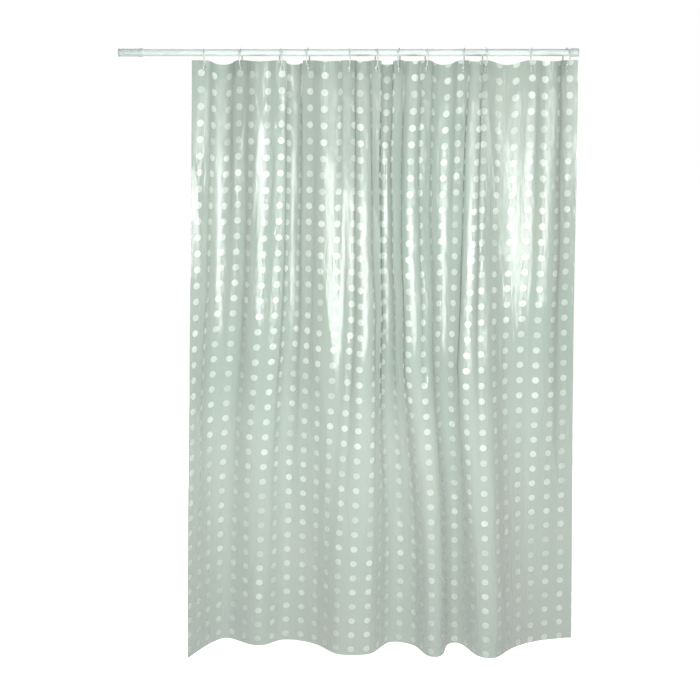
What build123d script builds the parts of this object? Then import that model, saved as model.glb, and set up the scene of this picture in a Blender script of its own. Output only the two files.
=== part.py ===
from build123d import *
import math
import os

# Shower curtain: a thin plastic film on split rings, hung from a tension rod.
# Millimetres. X runs along the rod, +Y towards the wall behind, +Z up.
# The origin is the centre of the right-hand foot's wall face, so the rod lies along -X.

# ---- film ----
film_width = 1800.0          # flat, before it is gathered
film_drop = 2000.0           # flat, top fold to bottom edge
film_thickness = 1.0         # the real film is 0.25; the solid is thicker, to mesh cleanly over 2 m
header_height = 46.0         # depth of the welded fold along the top
layer_gap = 0.3              # between the film and the folded header behind it
ring_count = 12
edge_to_hole = 38.0          # side edge of the film to its nearest eyelet
hole_drop = 23.5             # top edge of the film to the eyelets' centres

# ---- rings ----
ring_wire_radius = 2.0
ring_mean_radius = 28.9
ring_slit = 1.2              # gap where the ring opens
clasp_radius = 3.1
clasp_length = 8.0
clasp_turn = 42.0            # degrees round the ring from its top, towards the back
ring_clearance = 0.3
ring_turn = (6, -5, 9, -8, 0, 7, -8, 5, -6, 10, -6, 14)    # degrees about the vertical

# ---- eyelets ----
eyelet_hole_radius = 5.0
eyelet_waist_radius = 6.0
eyelet_flange_radius = 8.0
eyelet_flange_thickness = 0.9
eyelet_clearance = 0.3       # eyelet to film
hole_clearance = 0.6         # ring wire to the top of the eyelet's hole

# ---- rod ----
tube_radius = 11.0
tube_wall = 0.8
bare_rod = 190.0             # free tube between the lead ring and the adjuster
last_ring_to_wall = 38.6
pad_thickness = 5.0
pad_radius = tube_radius + 1.4
pad_stud_radius = 3.0
pad_stud_length = 4.0
cap_radius = tube_radius + 1.8
cap_length = 24.0
cap_end_wall = 6.0
plug_length = 30.0
plug_wall = 2.2
plug_clearance = 0.05

# ---- adjuster at the left-hand end ----
foot_radius = tube_radius + 1.0
foot_length = 14.0
sleeve_radius = tube_radius + 1.0
sleeve_length = 59.0
sleeve_end_wall = 10.0
collar_radius = tube_radius + 2.5
collar_length = 9.0
collar_flare = 10.0
grip_groove_count = 18
grip_groove_radius = 0.6
screw_radius = 5.0
screw_length = 58.0
screw_flat = 3.6             # centre to the flat that keeps the screw from turning
guide_length = 24.0
running_gap = 0.3            # between the pieces that turn or slide on each other
foot_gap = 0.3               # foot to sleeve, wound right in

# ---- gathering ----
# Share of each length of film between two eyelets that is left between its rings, from the left.
bay_closing = (0.737, 0.804, 0.546, 0.842, 0.533, 0.450, 0.552, 0.752, 0.421, 0.922, 0.712)
# Side to which each of those lengths bellies: -1 to the front, 1 to the back.
bay_side = (1, -1, 1, -1, -1, 1, -1, 1, -1, 1, -1)
belly_share = 0.44           # belly depth against the film to spare in a bay
knee_along = 0.16            # where a bay's knees lie: share of its length, share of its depth
knee_up = 0.55
flat_spot = 11.5             # half the straight stretch of film at an eyelet
eyelet_slope = 26.0          # degrees between the film and the rod at an eyelet
side_reach = 0.8             # share of edge_to_hole that the side edges reach along the rod
end_lean = 0.35              # share of edge_to_hole that they turn to the front
# Turns of the bottom edge, from the left, as shares of the flat width: from its right-hand corner, depth.
bottom_corner_x = 62.0
bottom_folds = (
    (0.742, -0.0433), (0.674, 0.0422), (0.612, 0.0067), (0.548, 0.0300), (0.457, -0.0300),
    (0.390, -0.0278), (0.346, 0.0222), (0.309, 0.0133), (0.271, -0.0389), (0.232, 0.0233),
    (0.176, -0.0444), (0.099, 0.0156), (0.000, 0.0367),
)
span_steps = 24              # points along each bellied stretch of the film's faces

# ---- worked out from the above ----
bay_flat = (film_width - 2 * edge_to_hole) / (ring_count - 1)
bay_chords = [share * bay_flat for share in bay_closing]
ring_x = [-last_ring_to_wall - sum(bay_chords[k:]) for k in range(ring_count)]
ring_centre_z = tube_radius + ring_clearance + ring_wire_radius - ring_mean_radius
ring_low_z = ring_centre_z - ring_mean_radius
hole_z = ring_low_z + ring_wire_radius + hole_clearance - eyelet_hole_radius
film_top = hole_z + hole_drop
film_bottom = film_top - film_drop
straight_bottom = film_top - header_height - 24.0
sleeve_right = ring_x[0] - bare_rod
sleeve_left = sleeve_right - sleeve_length
foot_right = sleeve_left - foot_gap
rod_left = foot_right - foot_length - pad_thickness
tube_right = -pad_thickness - cap_end_wall
tube_left = sleeve_left + sleeve_end_wall + running_gap


def rod_cylinder(radius, left, right):
    """A round bar along the rod's axis."""
    return Pos((left + right) / 2, 0, 0) * Rot(0, 90, 0) * Cylinder(radius, right - left)


def rod_tube(outer, inner, left, right):
    return rod_cylinder(outer, left, right) - rod_cylinder(inner, left - 1, right + 1)


# ---- rod pieces ----
def main_tube():
    return rod_tube(tube_radius, tube_radius - tube_wall, tube_left, tube_right)


def end_plug():
    """Ribbed plastic plug that stops the tube's right-hand end from crushing."""
    outer = tube_radius - tube_wall - plug_clearance
    left = tube_right - plug_length
    body = rod_tube(outer, outer - plug_wall, left, tube_right)
    web = Pos((left + tube_right) / 2, 0, 0) * Box(plug_length, plug_wall, 2 * (outer - plug_wall / 2))
    return body + web


def end_cap():
    """Cup over the tube's right-hand end."""
    right = -pad_thickness
    cap = rod_cylinder(cap_radius, right - cap_length, right)
    cap = fillet(cap.edges().filter_by(GeomType.CIRCLE).group_by(Axis.X)[0], 0.9)
    cap -= rod_cylinder(tube_radius + plug_clearance, right - cap_length - 1, tube_right)
    return cap - rod_cylinder(pad_stud_radius + plug_clearance, right - pad_stud_length - 0.5, right + 1)


def rubber_pad(face_x, outward):
    """Wall pad with a stud at its back; outward is +1 for the right-hand wall, -1 for the left."""
    back = face_x - outward * pad_thickness
    pad = rod_cylinder(pad_radius, min(back, face_x), max(back, face_x))
    pad = fillet(pad.edges().filter_by(GeomType.CIRCLE), 0.8)
    for groove in (5.0, 8.5):
        sunk = face_x - outward * 0.6
        ring = rod_tube(groove + 0.6, groove - 0.6, min(sunk, face_x), max(sunk, face_x))
        pad -= ring
    tip = back - outward * pad_stud_length
    return pad + rod_cylinder(pad_stud_radius, min(back, tip), max(back, tip))


# ---- adjuster pieces ----
def adjuster_sleeve():
    """Hand-turned sleeve over the tube's left-hand end, threaded in its end wall."""
    profile = make_face(
        Polyline(
            (sleeve_left, 0), (sleeve_left, sleeve_radius - 0.8), (sleeve_left + 0.8, sleeve_radius),
            (sleeve_right - collar_length - collar_flare, sleeve_radius),
            (sleeve_right - collar_length, collar_radius), (sleeve_right - 1, collar_radius),
            (sleeve_right, collar_radius - 1), (sleeve_right, 0), close=True,
        )
    )
    sleeve = revolve(Rot(90, 0, 0) * profile, Axis.X)
    sleeve -= rod_cylinder(tube_radius + running_gap, sleeve_left + sleeve_end_wall, sleeve_right + 1)
    sleeve -= rod_cylinder(screw_radius + running_gap, sleeve_left - 1, sleeve_right)
    groove_left = sleeve_left + 6
    groove_right = sleeve_right - collar_length - collar_flare - 4
    for k in range(grip_groove_count):
        turn = 360 * k / grip_groove_count
        groove = Pos(0, 0, sleeve_radius + 0.15) * rod_cylinder(grip_groove_radius, groove_left, groove_right)
        sleeve -= Rot(turn, 0, 0) * groove
    return sleeve


def screw_guide():
    """Plastic plug inside the tube, with the flat-sided hole that the screw slides in."""
    outer = tube_radius - tube_wall - plug_clearance
    guide = rod_cylinder(outer, tube_left, tube_left + guide_length)
    bore = rod_cylinder(screw_radius + running_gap, tube_left - 1, tube_left + guide_length + 1)
    keep = Box(6 * guide_length, 4 * screw_radius, 2 * (screw_flat + running_gap))
    return guide - (bore & (Pos(tube_left, 0, 0) * keep))


def foot_screw():
    """Screw with a round head that carries the left-hand pad; its tail has two flats."""
    right = foot_right + screw_length
    shank = rod_cylinder(screw_radius, foot_right - 2, right)
    tail_left = foot_right + foot_gap + sleeve_end_wall
    flats = Pos(tail_left + screw_length, 0, 0) * Box(2 * screw_length, 4 * screw_radius, 2 * screw_flat)
    shank = (shank & rod_cylinder(2 * screw_radius, foot_right - 2, tail_left)) + (shank & flats)
    head = rod_cylinder(foot_radius, foot_right - foot_length, foot_right)
    head = fillet(head.edges().filter_by(GeomType.CIRCLE), 0.8)
    socket = rod_cylinder(
        pad_stud_radius + plug_clearance, foot_right - foot_length - 1,
        foot_right - foot_length + pad_stud_length + 0.5,
    )
    return head + shank - socket


# ---- rings and eyelets ----
def split_ring(k):
    """Round plastic ring, opened by a slit beside its clasp."""
    ring = Rot(0, 90, 0) * Torus(ring_mean_radius, ring_wire_radius)
    clasp = fillet(Cylinder(clasp_radius, clasp_length).edges(), 0.8)
    place = Rot(clasp_turn, 0, 0) * Pos(0, 0, ring_mean_radius) * Rot(90, 0, 0)
    slit_place = Rot(clasp_turn, 0, 0) * Pos(0, clasp_length / 2 + ring_slit / 2, ring_mean_radius)
    ring = ring + place * clasp - slit_place * Box(12, ring_slit, 12)
    return Pos(ring_x[k], 0, ring_centre_z) * Rot(0, 0, ring_turn[k]) * ring


def eyelet(k):
    """Clear two-part eyelet clenched through the film."""
    half = film_thickness + layer_gap / 2 + eyelet_clearance
    blank = Cylinder(eyelet_waist_radius, 2 * half)
    for side in (-1, 1):
        flange = Cylinder(eyelet_flange_radius, eyelet_flange_thickness)
        outer_rim = flange.edges().group_by(Axis.Z)[-1 if side > 0 else 0]
        flange = fillet(outer_rim, 0.4)
        blank += Pos(0, 0, side * (half + eyelet_flange_thickness / 2)) * flange
    blank -= Cylinder(eyelet_hole_radius, 40)
    way = eyelet_direction(k)
    turn = math.degrees(math.atan2(way.Y, way.X))
    return Pos(ring_x[k], 0, hole_z) * Rot(0, 0, turn) * Rot(90, 0, 0) * blank


# ---- film ----
def eyelet_direction(k):
    """Unit vector along the film at an eyelet, seen from above."""
    before = bay_side[k - 1] if k > 0 else -bay_side[0]
    after = bay_side[k] if k < ring_count - 1 else -bay_side[-1]
    slope = math.radians(eyelet_slope) * (after - before) / 2
    return Vector(math.cos(slope), math.sin(slope))


def bay_points(leaving, arriving, k):
    """Ends, two knees and belly of the film between two eyelets."""
    depth = bay_side[k] * belly_share * math.sqrt(bay_flat ** 2 - bay_chords[k] ** 2)
    step = knee_along * (arriving.X - leaving.X)
    first_knee = (leaving.X + step, leaving.Y + knee_up * (depth - leaving.Y))
    last_knee = (arriving.X - step, arriving.Y + knee_up * (depth - arriving.Y))
    belly = ((leaving.X + arriving.X) / 2, depth)
    return [leaving, first_knee, belly, last_knee, arriving]


def top_spans():
    """The film's line seen from above at its eyelets: straight at each one, bellied between them."""
    ways = [eyelet_direction(k) for k in range(ring_count)]
    rings = [Vector(x, 0) for x in ring_x]
    edge_y = -edge_to_hole * end_lean
    left_edge = Vector(ring_x[0] - edge_to_hole * side_reach, edge_y)
    right_edge = Vector(ring_x[-1] + edge_to_hole * side_reach, edge_y)
    spans = [Spline(left_edge, rings[0] - ways[0] * flat_spot, tangents=[(1, 0), ways[0]])]
    for k in range(ring_count):
        leaving = rings[k] + ways[k] * flat_spot
        spans.append(Line(rings[k] - ways[k] * flat_spot, leaving))
        if k < ring_count - 1:
            arriving = rings[k + 1] - ways[k + 1] * flat_spot
            points = bay_points(leaving, arriving, k)
            spans.append(Spline(*points, tangents=[ways[k], ways[k + 1]]))
        else:
            spans.append(Spline(leaving, right_edge, tangents=[ways[k], (1, 0)]))
    return spans


def bottom_spans(top):
    """The bottom edge's line, cut into lengths in the same shares as the top's."""
    turns = [(bottom_corner_x - along * film_width, depth * film_width) for along, depth in bottom_folds]
    path = Spline(*turns)
    total = sum(span.length for span in top)
    cuts = [0.0]
    for span in top:
        cuts.append(min(cuts[-1] + span.length / total, 1.0))
    cuts[-1] = 1.0
    return [path.trim(low, high) for low, high in zip(cuts, cuts[1:])]


def offset_spans(spans, distance):
    """The same line, moved a distance to its back."""
    ends = [spans[0] @ 0] + [span @ 1 for span in spans]
    ways = [spans[0] % 0] + [span % 1 for span in spans]
    moved = [spot + Vector(-way.Y, way.X) * distance for spot, way in zip(ends, ways)]
    edges = []
    for k, span in enumerate(spans):
        if span.geom_type == GeomType.LINE:
            edges.append(Line(moved[k], moved[k + 1]))
            continue
        inner = []
        for step in range(1, span_steps):
            spot, way = span @ (step / span_steps), span % (step / span_steps)
            inner.append(spot + Vector(-way.Y, way.X) * distance)
        edges.append(Spline(moved[k], *inner, moved[k + 1]))
    return edges


def strip_face(spans, z, near, far):
    """Thin closed outline between two distances to the back of a line."""
    front, back = offset_spans(spans, near), offset_spans(spans, far)
    sides = [Line(front[-1] @ 1, back[-1] @ 1), Line(back[0] @ 0, front[0] @ 0)]
    return Pos(0, 0, z) * make_face([*front, sides[0], *reversed(back), sides[1]])


def cut_eyelet_holes(sheet):
    for k, x in enumerate(ring_x):
        way = eyelet_direction(k)
        turn = math.degrees(math.atan2(way.Y, way.X))
        punch = Cylinder(eyelet_waist_radius + eyelet_clearance, 12)
        sheet -= Pos(x, 0, hole_z) * Rot(0, 0, turn) * Rot(90, 0, 0) * punch
    return sheet


def film_sheet(top):
    front, back = -layer_gap / 2 - film_thickness, -layer_gap / 2
    upper = strip_face(top, film_top, front, back)
    middle = strip_face(top, straight_bottom, front, back)
    lower = strip_face(bottom_spans(top), film_bottom, front, back)
    return cut_eyelet_holes(loft([upper, middle, lower], ruled=True))


def header_strip(top):
    """The film's top margin, folded to the back and welded down."""
    face = strip_face(top, film_top - header_height, layer_gap / 2, layer_gap / 2 + film_thickness)
    return cut_eyelet_holes(extrude(face, header_height, dir=(0, 0, 1)))


def main():
    os.makedirs("parts", exist_ok=True)
    top = top_spans()
    pieces = {
        "main_tube": main_tube(),
        "end_plug": end_plug(),
        "end_cap": end_cap(),
        "right_pad": rubber_pad(0, 1),
        "adjuster_sleeve": adjuster_sleeve(),
        "screw_guide": screw_guide(),
        "foot_screw": foot_screw(),
        "left_pad": rubber_pad(rod_left, -1),
        "film": film_sheet(top),
        "header_strip": header_strip(top),
    }
    for k in range(ring_count):
        pieces[f"ring_{k + 1:02d}"] = split_ring(k)
        pieces[f"eyelet_{k + 1:02d}"] = eyelet(k)
    for name, piece in pieces.items():
        export_step(piece, f"parts/{name}.step")
    for name, spans in (("top", top), ("bottom", bottom_spans(top))):
        print(f"{name} line {sum(span.length for span in spans):.0f} mm, flat film {film_width:.0f} mm")
    print(f"rod from {rod_left:.1f} to 0, rings at {[round(x, 1) for x in ring_x]}")
    print(f"ring centre z {ring_centre_z:.2f}, hole z {hole_z:.2f}, film {film_top:.2f} to {film_bottom:.2f}")


main()
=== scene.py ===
"""Shower curtain: a dotted plastic film on split rings, hung from a tension rod. Metres."""
import math

import bpy
import numpy as np
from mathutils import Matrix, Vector


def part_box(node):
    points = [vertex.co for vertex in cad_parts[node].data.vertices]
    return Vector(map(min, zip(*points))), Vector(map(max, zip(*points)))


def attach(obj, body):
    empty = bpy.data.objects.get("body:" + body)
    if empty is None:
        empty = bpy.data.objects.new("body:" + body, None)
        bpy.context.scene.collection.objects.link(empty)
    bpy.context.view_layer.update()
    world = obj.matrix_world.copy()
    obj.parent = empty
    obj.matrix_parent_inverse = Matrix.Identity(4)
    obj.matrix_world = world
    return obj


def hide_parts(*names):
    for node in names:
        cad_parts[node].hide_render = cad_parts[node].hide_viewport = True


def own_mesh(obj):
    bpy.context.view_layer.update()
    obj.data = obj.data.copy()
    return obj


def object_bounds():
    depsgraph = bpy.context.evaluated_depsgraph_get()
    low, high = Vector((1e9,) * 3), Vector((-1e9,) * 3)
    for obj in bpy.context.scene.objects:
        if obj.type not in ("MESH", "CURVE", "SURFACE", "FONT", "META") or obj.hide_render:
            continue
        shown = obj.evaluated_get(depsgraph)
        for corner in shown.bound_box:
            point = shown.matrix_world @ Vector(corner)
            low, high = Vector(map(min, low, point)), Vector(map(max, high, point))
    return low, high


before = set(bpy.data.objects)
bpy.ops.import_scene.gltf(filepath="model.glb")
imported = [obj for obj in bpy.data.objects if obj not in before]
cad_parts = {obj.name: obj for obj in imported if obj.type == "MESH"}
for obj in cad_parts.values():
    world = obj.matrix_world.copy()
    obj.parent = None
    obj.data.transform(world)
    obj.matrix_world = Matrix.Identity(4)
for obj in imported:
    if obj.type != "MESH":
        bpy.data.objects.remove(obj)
cad_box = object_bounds()

RING_COUNT = 12
FILM_WIDTH = 1.8
FILM_DROP = 2.0
EDGE_TO_EYELET = 0.038
HEADER_HEIGHT = 0.046
EYELET_COVER = 0.0062        # radius at which the film ends under an eyelet's flange
FILM_COLUMNS = 560
FILM_ROWS = 170
HEADER_ROWS = 10
HEADER_GAP = 0.0006          # from the film back to its folded header

# Side to which the film bellies between two rings, from the left: -1 to the front, 1 to the back.
BAY_SIDE = (1, -1, 1, -1, -1, 1, -1, 1, -1, 1, -1)
EYELET_SLOPE = math.radians(26)
# Turns of the bottom edge, from the left: share of the flat width from the right-hand corner, depth.
# These rows were computed outside this script and copied in, which is not the way to do it.
BOTTOM_CORNER_X = 0.062
BOTTOM_FOLDS = (
    (0.742, -0.082), (0.705, 0.030), (0.674, 0.084), (0.624, 0.018), (0.600, 0.014), (0.566, 0.063),
    (0.530, 0.055), (0.498, 0.026), (0.457, -0.054), (0.424, -0.062), (0.390, -0.050), (0.357, 0.046),
    (0.334, 0.042), (0.309, 0.022), (0.284, -0.066), (0.271, -0.078), (0.259, -0.066), (0.248, 0.022),
    (0.232, 0.046), (0.221, 0.026), (0.194, -0.070), (0.176, -0.086), (0.158, -0.080), (0.132, -0.019),
    (0.099, 0.026), (0.067, 0.051), (0.036, 0.063), (0.000, 0.072),
)
BACK_SAG = 0.016             # how far the film droops between rings where it bellies to the back
FRONT_SAG = 0.002            # and where it bellies to the front
HANG_LOSS = 0.001            # share by which the hung film is shorter than its flat drop
BLEND_START = -0.15          # above the top edge, so that the folds start to change at once
RIPPLE_TURN = 0.22           # radians by which small ripples turn the film
LONG_CREASE = 0.0030         # heights of the creases pushed out of the film
SHORT_CREASE = 0.0016
SWELL = 0.0010

DOT_PITCH = (0.0545, 0.0522)
FIRST_DOT = (0.030, FILM_DROP - 0.039)     # flat place of the first whole dot, up from the bottom edge
PRINT_TURN = math.radians(-0.6)            # the print runs slightly askew to the cut edges
FILM_COOL = (0.215, 0.325, 0.275, 1)
FILM_WARM = (0.315, 0.372, 0.288, 1)
DOT_WHITE = (0.62, 0.69, 0.62, 1)
FILM_ALPHA = 0.80
DOT_ALPHA = 0.93
HEADER_ALPHA = 0.28           # the welded margin adds little to what shows through

FLOOR_GAP = 0.03             # from the floor up to the film's lowest corner
FLOOR_REACH = 14.0
ROOM_SEEN = 1.0              # strength of the white that the floor and room show the camera
ROOM_LIGHT = 0.07            # and the strength with which they light the object
CAMERA_LENS = 72.4
CAMERA_PLACE = (-0.005, -4.52, 0.108)      # x from the middle of the tube
CAMERA_DIP = 13.3            # degrees below level


# ---------------------------------------------------------------- studio
def centre(node):
    low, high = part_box(node)
    return (Vector(low) + Vector(high)) / 2


def numbered(kind):
    """Names of the rings or of the eyelets, from the left."""
    return [f"{kind}_{k + 1:02d}" for k in range(RING_COUNT)]


def camera():
    """Eye a little above the rod, looking down to the middle of the film."""
    data = bpy.data.cameras.new("camera")
    data.lens = CAMERA_LENS
    data.clip_end = 60
    eye = bpy.data.objects.new("camera", data)
    eye.location = (centre("main_tube").x + CAMERA_PLACE[0], *CAMERA_PLACE[1:])
    eye.rotation_euler = (math.radians(90 - CAMERA_DIP), 0, 0)
    bpy.context.collection.objects.link(eye)
    bpy.context.scene.camera = eye


def mesh_object(name, points, faces):
    mesh = bpy.data.meshes.new(name)
    mesh.from_pydata([tuple(p) for p in points], [], [tuple(f) for f in faces])
    mesh.update()
    mesh.polygons.foreach_set("use_smooth", [True] * len(mesh.polygons))
    piece = bpy.data.objects.new(name, mesh)
    bpy.context.collection.objects.link(piece)
    return piece


def seen_or_lit(graph, seen, lit):
    """Strength that the camera sees, and the lower one that lights the object."""
    ray = graph.add("ShaderNodeLightPath").outputs["Is Camera Ray"]
    return graph.add("ShaderNodeMapRange", Value=ray, To_Min=lit, To_Max=seen).outputs["Result"]


def studio():
    """Pale floor in a white room, tall strip lamps in front of the film and broad ones around it."""
    floor_z = cad_box[0][2] - FLOOR_GAP
    corners = [(x * FLOOR_REACH, y * FLOOR_REACH, floor_z) for x, y in ((-1, -1), (1, -1), (1, 1), (-1, 1))]
    floor = mesh_object("floor", corners, [(0, 1, 2, 3)])
    paint, graph, shader = new_finish("floor")
    shader.inputs["Base Color"].default_value = (0.35, 0.35, 0.35, 1)
    shader.inputs["Roughness"].default_value = 0.9
    shader.inputs["Emission Color"].default_value = (1, 1, 1, 1)
    graph.put(shader, "Emission Strength", seen_or_lit(graph, ROOM_SEEN, ROOM_LIGHT))
    floor.data.materials.append(paint)

    world = bpy.data.worlds.new("room")
    world.use_nodes = True
    room = Graph(world.node_tree)
    background = world.node_tree.nodes["Background"]
    background.inputs["Color"].default_value = (1, 1, 1, 1)
    room.put(background, "Strength", seen_or_lit(room, ROOM_SEEN, ROOM_LIGHT))
    bpy.context.scene.world = world

    middle_x = centre("main_tube").x
    for name, place, aim, size, power in (
        ("left_strip", (middle_x - 1.9, -3.0, -0.75), (middle_x, 0, -0.4), (0.06, 1.1), 15),
        ("left_inner_strip", (middle_x - 0.8, -3.7, -0.8), (middle_x, 0, -0.4), (0.04, 1.0), 9),
        ("right_strip", (middle_x + 1.6, -3.2, -0.75), (middle_x, 0, -0.4), (0.05, 1.1), 14),
        ("near_strip", (middle_x + 0.35, -3.9, -0.9), (middle_x, 0, -0.5), (0.03, 0.9), 8),
        ("right_outer_strip", (middle_x + 2.8, -2.2, -0.7), (middle_x, 0, -0.4), (0.08, 1.1), 14),
        ("front_softbox", (middle_x + 0.1, -1.5, -0.88), (middle_x + 0.1, 0, -0.72), (1.4, 0.8), 23),
        ("high_lamp", (middle_x + 0.1, -2.2, 1.0), (middle_x + 0.1, 0, -0.4), (2.0, 0.9), 31),
        ("top_lamp", (middle_x, 0.4, 2.6), (middle_x, 0, 0), (3.0, 1.5), 22),
        ("back_lamp", (middle_x - 0.5, 3.0, 0.3), (middle_x, 0, -0.9), (2.2, 1.4), 85),
    ):
        data = bpy.data.lights.new(name, "AREA")
        data.shape = "RECTANGLE"
        data.size, data.size_y = size
        data.energy = power
        lamp = bpy.data.objects.new(name, data)
        lamp.location = place
        lamp.visible_camera = False
        lamp.rotation_euler = (Vector(aim) - Vector(place)).to_track_quat("-Z", "Y").to_euler()
        bpy.context.collection.objects.link(lamp)
    bpy.context.scene.view_settings.view_transform = "Standard"


# ---------------------------------------------------------------- film shape
def running(values, step):
    """Integral along the film's width, by the trapezium rule, starting at 0."""
    middle = (values[1:] + values[:-1]) / 2 * step
    return np.concatenate([[0.0], np.cumsum(middle)])


def smooth_step(low, high, x):
    t = np.clip((x - low) / (high - low), 0, 1)
    return t * t * (3 - 2 * t)


def eyelet_places():
    """Distance of each eyelet from the flat film's left edge."""
    span = FILM_WIDTH - 2 * EDGE_TO_EYELET
    return [EDGE_TO_EYELET + k * span / (RING_COUNT - 1) for k in range(RING_COUNT)]


def eyelet_way(k):
    """Direction of the film where it passes an eyelet, between its bellies on either side."""
    before = BAY_SIDE[k - 1] if k > 0 else -BAY_SIDE[0]
    after = BAY_SIDE[k] if k < RING_COUNT - 1 else -BAY_SIDE[-1]
    return EYELET_SLOPE * (after - before) / 2


def top_angles(across, ring_x):
    """Direction of the film along its top, seen from above, so that it meets every ring."""
    angles = np.zeros_like(across)
    places = eyelet_places()
    edge = across < places[0]
    angles[edge] = eyelet_way(0) * across[edge] / places[0]
    edge = across > places[-1]
    angles[edge] = eyelet_way(RING_COUNT - 1) * (1 - (across[edge] - places[-1]) / EDGE_TO_EYELET)
    for k in range(RING_COUNT - 1):
        inside = (across >= places[k]) & (across <= places[k + 1])
        length = places[k + 1] - places[k]
        along = (across[inside] - places[k]) / length
        chord = ring_x[k + 1] - ring_x[k]
        near = smooth_step(0.07, 0.20, along)
        far = smooth_step(0.07, 0.20, 1 - along)
        ends = eyelet_way(k) * (1 - near) + eyelet_way(k + 1) * (1 - far)
        belly = BAY_SIDE[k] * np.cos(math.pi * along) * near * far
        low, high = 0.0, 2.4
        lean = 0.0
        for _ in range(40):
            reach = (low + high) / 2
            row = ends + reach * belly + lean * near * far
            lean -= 0.6 * float(np.mean(np.sin(row)))
            if float(np.mean(np.cos(row))) * length > chord:
                low = reach
            else:
                high = reach
        angles[inside] = row
    return angles


def bottom_angles(across):
    """Direction of the film along its bottom edge, seen from above, with its turns rounded."""
    turns = np.array([(BOTTOM_CORNER_X - share * FILM_WIDTH, depth) for share, depth in BOTTOM_FOLDS])
    knots = np.concatenate([[0], np.cumsum(np.hypot(*np.diff(turns, axis=0).T))])
    fine = np.linspace(0, knots[-1], 1200)
    x, y = np.interp(fine, knots, turns[:, 0]), np.interp(fine, knots, turns[:, 1])
    kernel = np.hanning(61)
    kernel /= kernel.sum()
    angle = np.arctan2(np.gradient(y), np.gradient(x))
    angle = np.convolve(np.pad(angle, 30, mode="edge"), kernel, mode="valid")
    return np.interp(across / FILM_WIDTH * knots[-1], fine, angle)


def soft_noise(shape, cells, seed):
    """Smooth random values between -1 and 1 over the film, with the given number of cells each way."""
    rng = np.random.default_rng(seed)
    coarse = rng.uniform(-1, 1, (cells[0] + 4, cells[1] + 4))
    rows = np.linspace(1, cells[0] + 1, shape[0])
    columns = np.linspace(1, cells[1] + 1, shape[1])

    def weights(places):
        base = np.floor(places).astype(int)
        t = places - base
        spline = np.stack([(1 - t) ** 3, 3 * t**3 - 6 * t**2 + 4, -3 * t**3 + 3 * t**2 + 3 * t + 1, t**3]) / 6
        return base, spline

    base_r, spline_r = weights(rows)
    base_c, spline_c = weights(columns)
    found = np.zeros(shape)
    for i in range(4):
        for j in range(4):
            part = coarse[np.ix_(base_r + i - 1, base_c + j - 1)]
            found += spline_r[i][:, None] * spline_c[j][None, :] * part
    return found


def bottom_share(t):
    """How far the folds have turned into the bottom edge's: 0 along the top, 1 at the bottom."""
    if t <= 0:
        return 0.0
    start = smooth_step(BLEND_START, 1.0, 0.0)
    return (smooth_step(BLEND_START, 1.0, t) - start) / (1 - start)


def film_grid(columns, rows):
    """Points of the hung film, row by row from the top: every row keeps its flat width."""
    across = np.linspace(0, FILM_WIDTH, columns + 1)
    down = np.linspace(0, FILM_DROP, rows + 1)
    step = across[1] - across[0]
    ring_x = [centre(name).x for name in numbered("eyelet")]
    top = top_angles(across, ring_x)
    bottom = bottom_angles(across)
    film_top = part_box("film")[1][2]
    top_x = running(np.cos(top), step)
    top_width = top_x[-1]
    left_top = ring_x[0] - top_x[np.argmin(abs(across - EDGE_TO_EYELET))]
    left_bottom, right_bottom = BOTTOM_CORNER_X - BOTTOM_FOLDS[0][0] * FILM_WIDTH, BOTTOM_CORNER_X
    places = eyelet_places()
    top_y = running(np.sin(top), step)
    top_y -= np.interp(places[0], across, top_y)
    bottom_y = running(np.sin(bottom), step)
    bottom_y += np.interp(across, (0, FILM_WIDTH), (BOTTOM_FOLDS[0][1], BOTTOM_FOLDS[-1][1] - bottom_y[-1]))
    ripples = (
        0.55 * soft_noise((rows + 1, columns + 1), (7, 46), 3)
        + 0.35 * soft_noise((rows + 1, columns + 1), (12, 90), 5)
    )
    sag = np.zeros_like(across)
    for k in range(RING_COUNT - 1):
        inside = (across >= places[k]) & (across <= places[k + 1])
        along = (across[inside] - places[k]) / (places[k + 1] - places[k])
        sag[inside] = (BACK_SAG if BAY_SIDE[k] > 0 else FRONT_SAG) * np.sin(math.pi * along) ** 2
    points = np.zeros((rows + 1, columns + 1, 3))
    for j, t in enumerate(down / FILM_DROP):
        change = bottom_share(t)
        wave = (1 - change) * top + change * bottom
        wave = wave + ripples[j] * RIPPLE_TURN * smooth_step(0.02, 0.2, t) * (1 - 0.5 * t)
        left = left_top + (left_bottom - left_top) * t
        right = left_top + top_width + (right_bottom - left_top - top_width) * t
        low, high = 0.3, 3.0
        for _ in range(30):
            gain = (low + high) / 2
            width = running(np.cos(wave * gain), step)[-1]
            if width > right - left:
                low = gain
            else:
                high = gain
        gain = gain if t > 0 else 1.0
        x = left + running(np.cos(wave * gain), step)
        y = running(np.sin(wave * gain), step)
        goal = (1 - change) * top_y + change * bottom_y
        trend = np.polyfit(across, goal - y, 1)
        y = y + np.polyval(trend, across)
        points[j, :, 0] = x
        points[j, :, 1] = y
        points[j, :, 2] = film_top - down[j] * (1 - HANG_LOSS) - sag * (1 - smooth_step(0.0, 0.6, t))
    return across, down, crinkled(points, down)


def ridges(shape, cells, seed):
    """Sharp-backed creases, 0 to 1."""
    return (1 - np.abs(soft_noise(shape, cells, seed)) * 1.6).clip(0, 1) ** 3


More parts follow.
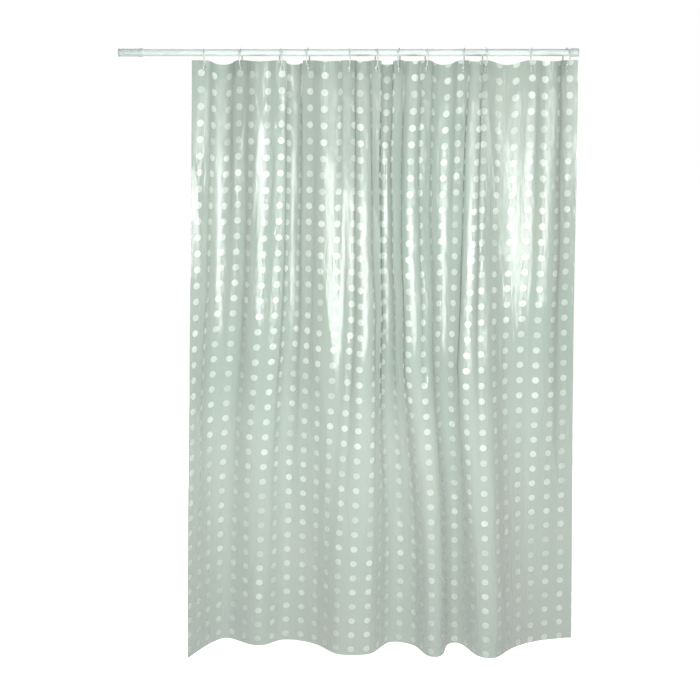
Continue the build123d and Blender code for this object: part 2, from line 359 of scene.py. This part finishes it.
def crinkled(points, down):
    """Push the film's points in and out of its surface by the creases that its packing left."""
    shape = points.shape[:2]
    along = np.gradient(points, axis=1)
    out = np.stack([along[..., 1], -along[..., 0]], -1)
    out /= np.linalg.norm(out, axis=-1)[..., None]
    patches = smooth_step(-0.15, 0.45, soft_noise(shape, (5, 13), 11))
    creases = LONG_CREASE * ridges(shape, (11, 38), 21) + SHORT_CREASE * ridges(shape, (20, 95), 23) * patches
    creases += SWELL * soft_noise(shape, (34, 120), 27) * patches
    free = smooth_step(HEADER_HEIGHT, HEADER_HEIGHT + 0.06, down) * (1 - 0.55 * smooth_step(0.9, 1.7, down))
    points[..., :2] += out * (creases * free[:, None])[..., None]
    return points


def film_faces(rows, columns, skip):
    """Four-sided faces of the grid, but for those that an eyelet takes."""
    faces = []
    for j in range(rows):
        for i in range(columns):
            if skip[j, i]:
                continue
            a = j * (columns + 1) + i
            faces.append((a, a + columns + 1, a + columns + 2, a + 1))
    return faces


def film_piece(name, across, down, points, print_down):
    """Sheet with its flat coordinates as a UV map, holed at the eyelets."""
    rows, columns = len(down) - 1, len(across) - 1
    flat_x, flat_y = np.meshgrid(across, down)
    mid_x = (flat_x[:-1, :-1] + flat_x[1:, 1:]) / 2
    mid_y = (flat_y[:-1, :-1] + flat_y[1:, 1:]) / 2
    eyelet_z = [centre(name).z for name in numbered("eyelet")]
    film_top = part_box("film")[1][2]
    skip = np.zeros(mid_x.shape, bool)
    for place, z in zip(eyelet_places(), eyelet_z):
        skip |= np.hypot(mid_x - place, mid_y - (film_top - z)) < EYELET_COVER
    piece = mesh_object(name, points.reshape(-1, 3), film_faces(rows, columns, skip))
    uv = piece.data.uv_layers.new(name="flat")
    corner = np.zeros(len(piece.data.loops), int)
    piece.data.loops.foreach_get("vertex_index", corner)
    flat = np.stack([flat_x.ravel() / FILM_WIDTH, 1 - print_down(flat_y.ravel()) / FILM_DROP], 1)
    uv.data.foreach_set("uv", flat[corner].astype(np.float32).ravel())
    return piece


# ---------------------------------------------------------------- finishes
class Graph:
    """Short way to add nodes to a material or a node group."""

    def __init__(self, tree):
        self.tree = tree

    def add(self, kind, settings=None, **values):
        """New node: settings are its properties, values its inputs, as numbers or as sockets to link."""
        node = self.tree.nodes.new(kind)
        for key, value in (settings or {}).items():
            setattr(node, key, value)
        for key, value in values.items():
            self.put(node, key.replace("_", " "), value)
        return node

    def put(self, node, key, value):
        socket = node.inputs[int(key[1:])] if key[0] == "i" and key[1:].isdigit() else node.inputs[key]
        if isinstance(value, bpy.types.NodeSocket):
            self.tree.links.new(value, socket)
        else:
            socket.default_value = value

    def math(self, operation, first, second=0.0):
        return self.add("ShaderNodeMath", {"operation": operation}, i0=first, i1=second).outputs[0]

    def vector(self, operation, **values):
        """Vector maths node; i0 and i1 are its inputs."""
        return self.add("ShaderNodeVectorMath", {"operation": operation}, **values).outputs


def new_group(name, inputs, outputs):
    """Shader group with named sockets; returns its graph and the sockets that come in."""
    tree = bpy.data.node_groups.new(name, "ShaderNodeTree")
    for label, kind, value in inputs:
        socket = tree.interface.new_socket(label, in_out="INPUT", socket_type="NodeSocket" + kind)
        if value is not None:
            socket.default_value = value
    for label, kind in outputs:
        tree.interface.new_socket(label, in_out="OUTPUT", socket_type="NodeSocket" + kind)
    graph = Graph(tree)
    return graph, graph.add("NodeGroupInput").outputs, graph.add("NodeGroupOutput")


def dot_print_group():
    """White where a printed dot lies, from the flat position on the film in metres."""
    graph, given, result = new_group(
        "dot_print",
        [("Position", "Vector", None), ("Dot Share", "Float", 0.22), ("Edge", "Float", 0.02)],
        [("Dot", "Float")],
    )
    place = graph.add(
        "ShaderNodeMapping", {"vector_type": "TEXTURE"}, Vector=given["Position"],
        Location=(FIRST_DOT[0], FIRST_DOT[1], 0), Rotation=(0, 0, PRINT_TURN), Scale=(*DOT_PITCH, 1),
    )
    cell = graph.vector("ADD", i0=place.outputs[0], i1=(0.5, 0.5, 0))[0]
    part = graph.vector("FRACTION", i0=cell)[0]
    middle = graph.vector("SUBTRACT", i0=part, i1=(0.5, 0.5, 0))[0]
    flat = graph.vector("MULTIPLY", i0=middle, i1=(1, 1, 0))[0]
    reach = graph.vector("LENGTH", i0=flat)["Value"]
    wobble = graph.add("ShaderNodeTexNoise", Vector=place.outputs[0], Scale=3.1, Detail=1.0).outputs["Fac"]
    reach = graph.math("ADD", reach, graph.math("MULTIPLY", graph.math("SUBTRACT", wobble, 0.5), 0.03))
    inner = graph.math("SUBTRACT", given["Dot Share"], given["Edge"])
    mask = graph.add(
        "ShaderNodeMapRange", {"interpolation_type": "SMOOTHSTEP"}, Value=reach, From_Min=given["Dot Share"],
        From_Max=inner, To_Min=0.0, To_Max=1.0,
    )
    graph.put(result, "Dot", mask.outputs["Result"])
    return graph.tree


def crinkle_group():
    """Height of the creases in a thin film: long sharp ones, short ones across them, and a soft swell."""
    graph, given, result = new_group(
        "film_crinkle",
        [
            ("Position", "Vector", None), ("Across", "Float", 40.0),
            ("Down", "Float", 7.0), ("Short", "Float", 0.4),
        ],
        [("Height", "Float")],
    )
    scale = graph.add("ShaderNodeCombineXYZ", X=given["Across"], Y=given["Down"]).outputs[0]
    stretched = graph.vector("MULTIPLY", i0=given["Position"], i1=scale)[0]
    long = graph.add(
        "ShaderNodeTexNoise", {"noise_type": "RIDGED_MULTIFRACTAL"}, Vector=stretched, Scale=1.0,
        Detail=1.0, Roughness=0.4, Lacunarity=2.1, Distortion=0.3,
    ).outputs["Fac"]
    short = graph.add(
        "ShaderNodeTexVoronoi", {"feature": "SMOOTH_F1"}, Vector=stretched, Scale=2.3, Randomness=1.0,
        Smoothness=0.25,
    ).outputs["Distance"]
    height = graph.math("ADD", long, graph.math("MULTIPLY", short, given["Short"]))
    graph.put(result, "Height", height)
    return graph.tree


def handling_group():
    """Uneven gloss of a moulded or painted surface: value around 1, and fine height."""
    graph, given, result = new_group(
        "handling_marks",
        [("Scale", "Float", 90.0), ("Amount", "Float", 0.3)],
        [("Gloss", "Float"), ("Height", "Float")],
    )
    where = graph.add("ShaderNodeTexCoord").outputs["Object"]
    broad = graph.add("ShaderNodeTexNoise", Vector=where, Scale=given["Scale"], Detail=3.0).outputs["Fac"]
    fine = graph.add("ShaderNodeTexNoise", Vector=where, Scale=graph.math("MULTIPLY", given["Scale"], 9.0))
    swing = graph.math("MULTIPLY", graph.math("SUBTRACT", broad, 0.5), given["Amount"])
    graph.put(result, "Gloss", graph.math("ADD", swing, 1.0))
    graph.put(result, "Height", fine.outputs["Fac"])
    return graph.tree


GROUPS = {}


def placed_group(graph, maker, **values):
    if maker not in GROUPS:
        GROUPS[maker] = maker()
    return graph.add("ShaderNodeGroup", {"node_tree": GROUPS[maker]}, **values).outputs


def new_finish(name):
    paint = bpy.data.materials.new(name)
    paint.use_nodes = True
    return paint, Graph(paint.node_tree), paint.node_tree.nodes["Principled BSDF"]


def film_finish(name, film_alpha):
    """Glossy translucent film with opaque white dots and heat-set creases."""
    paint, graph, shader = new_finish(name)
    uv = graph.add("ShaderNodeUVMap", {"uv_map": "flat"}).outputs["UV"]
    flat = graph.vector("MULTIPLY", i0=uv, i1=(FILM_WIDTH, FILM_DROP, 1))[0]
    dot = placed_group(graph, dot_print_group, Position=flat)["Dot"]
    cloud = graph.add("ShaderNodeTexNoise", Vector=flat, Scale=2.2, Detail=3.0).outputs["Fac"]
    ink = graph.add("ShaderNodeTexNoise", Vector=flat, Scale=7.0, Detail=2.0).outputs["Fac"]
    ink = graph.add("ShaderNodeMapRange", Value=ink, From_Min=0.35, From_Max=0.62, To_Min=0.45, To_Max=1.0)
    dot = graph.math("MULTIPLY", dot, ink.outputs["Result"])
    ground = graph.add("ShaderNodeMix", {"data_type": "RGBA"}, Factor=cloud, A=FILM_COOL, B=FILM_WARM)
    colour = graph.add(
        "ShaderNodeMix", {"data_type": "RGBA"}, Factor=dot, A=ground.outputs["Result"], B=DOT_WHITE
    )
    graph.put(shader, "Base Color", colour.outputs["Result"])
    dot_alpha = DOT_ALPHA * film_alpha / FILM_ALPHA
    alpha = graph.add("ShaderNodeMapRange", Value=dot, To_Min=film_alpha, To_Max=dot_alpha)
    graph.put(shader, "Alpha", alpha.outputs["Result"])
    rough = graph.add("ShaderNodeMapRange", Value=cloud, To_Min=0.07, To_Max=0.13)
    graph.put(shader, "Roughness", rough.outputs["Result"])
    warp = graph.add("ShaderNodeTexNoise", Vector=flat, Scale=4.0, Detail=1.0).outputs["Color"]
    warp = graph.vector("MULTIPLY", i0=warp, i1=(0.05, 0.0, 0.0))[0]
    creased = graph.vector("ADD", i0=flat, i1=warp)[0]
    long = placed_group(graph, crinkle_group, Position=creased, Across=62.0, Down=5.5, Short=0.35)["Height"]
    fine = placed_group(graph, crinkle_group, Position=creased, Across=125.0, Down=17.0, Short=0.8)["Height"]
    patch = graph.add("ShaderNodeTexNoise", Vector=flat, Scale=3.4, Detail=2.0).outputs["Fac"]
    patch = graph.add("ShaderNodeMapRange", Value=patch, From_Min=0.36, From_Max=0.56).outputs["Result"]
    height = graph.math("ADD", long, graph.math("MULTIPLY", graph.math("MULTIPLY", fine, patch), 0.55))
    bump = graph.add("ShaderNodeBump", Height=height, Distance=0.0021, Strength=0.85)
    graph.put(shader, "Normal", bump.outputs["Normal"])
    shader.inputs["IOR"].default_value = 1.7
    return paint


def moulded_finish(name, colour, roughness, scale, bump_height, alpha=1.0):
    """Moulded or painted surface with slightly uneven gloss."""
    paint, graph, shader = new_finish(name)
    marks = placed_group(graph, handling_group, Scale=scale, Amount=0.5)
    pale = tuple(min(1.0, c * 1.06) for c in colour)
    tint = graph.add(
        "ShaderNodeMix", {"data_type": "RGBA"}, Factor=marks["Height"], A=(*colour, 1), B=(*pale, 1)
    )
    graph.put(shader, "Base Color", tint.outputs["Result"])
    graph.put(shader, "Roughness", graph.math("MULTIPLY", marks["Gloss"], roughness))
    bump = graph.add("ShaderNodeBump", Height=marks["Height"], Distance=bump_height, Strength=0.5)
    graph.put(shader, "Normal", bump.outputs["Normal"])
    shader.inputs["Alpha"].default_value = alpha
    return paint


def dress(nodes, paint):
    for name in nodes:
        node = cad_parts[name]
        node.data.materials.clear()
        node.data.materials.append(paint)


def dress_hardware():
    enamel = moulded_finish("rod_enamel", (0.60, 0.67, 0.645), 0.25, 60, 0.00002)
    dress(["main_tube"], enamel)
    plastic = moulded_finish("end_plastic", (0.52, 0.60, 0.57), 0.30, 110, 0.00005)
    dress(["adjuster_sleeve", "end_cap", "foot_screw"], plastic)
    dress(["left_pad", "right_pad"], moulded_finish("pad_rubber", (0.45, 0.50, 0.48), 0.6, 200, 0.0001))
    dress(["end_plug", "screw_guide"], moulded_finish("inner_plastic", (0.7, 0.7, 0.68), 0.5, 120, 0.00005))
    clear = moulded_finish("clear_plastic", (0.60, 0.66, 0.64), 0.14, 140, 0.00003, alpha=0.8)
    dress(numbered("ring"), clear)
    pale = moulded_finish("eyelet_plastic", (0.42, 0.52, 0.47), 0.18, 140, 0.00003, alpha=0.55)
    dress(numbered("eyelet"), pale)


def header_grid(across, down, points):
    """The folded margin: the film's top stretch again, just behind it."""
    depth = np.linspace(0, HEADER_HEIGHT, HEADER_ROWS + 1)
    rows = np.empty((HEADER_ROWS + 1, len(across), 3))
    for axis in range(3):
        for column in range(len(across)):
            rows[:, column, axis] = np.interp(depth, down, points[:, column, axis])
    along = np.gradient(rows, axis=1)
    back = np.stack([-along[..., 1], along[..., 0]], -1)
    back /= np.linalg.norm(back, axis=-1)[..., None]
    rows[..., :2] += back * HEADER_GAP
    return depth, rows


def hang_film():
    across, down, points = film_grid(FILM_COLUMNS, FILM_ROWS)
    film = film_piece("dotted_film", across, down, points, lambda t: t)
    film.data.materials.append(film_finish("dotted_film", FILM_ALPHA))
    depth, rows = header_grid(across, down, points)
    header = film_piece("folded_header", across, depth, rows, lambda t: -t)
    header.data.materials.append(film_finish("folded_header", HEADER_ALPHA))
    for piece, node in ((film, "film"), (header, "header_strip")):
        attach(piece, "curtain")
        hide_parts(node)
        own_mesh(piece)


camera()
studio()
hang_film()
dress_hardware()
